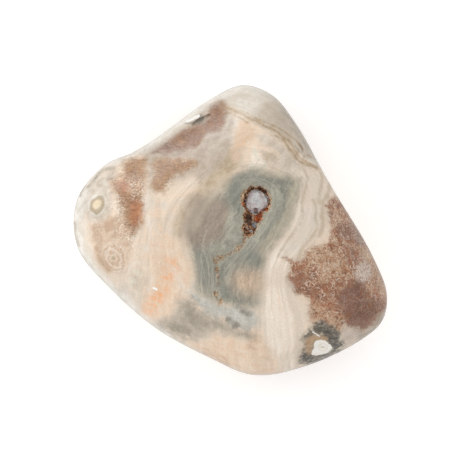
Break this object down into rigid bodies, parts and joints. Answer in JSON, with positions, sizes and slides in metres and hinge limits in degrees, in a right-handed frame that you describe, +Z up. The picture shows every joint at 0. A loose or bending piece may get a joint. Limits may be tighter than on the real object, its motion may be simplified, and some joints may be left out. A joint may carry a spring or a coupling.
{
  "type": "ocean jasper tumbled stone",
  "caption": "Polished tumbled pebble of banded, orbicular jasper: a rounded, flattened form with a flat to rest on and a small crystal-lined vug in its upper face.",
  "frame": {"origin": "bottom centre of the bounding box, on the surface that the pebble lies on", "axes": "+Z up out of the face with the vug; +X to the right and +Y to the top of that face as the picture shows it"},
  "size_m": [0.0392, 0.0362, 0.019],
  "materials": {
    "polished_jasper": "polished, softly glossy",
    "quartz_crust": "fine glittering crystals, stained rust at their feet"
  },
  "bodies": {
    "root": {"stone": "polished_jasper", "vug_crust": "quartz_crust"}
  },
  "joints": []
}
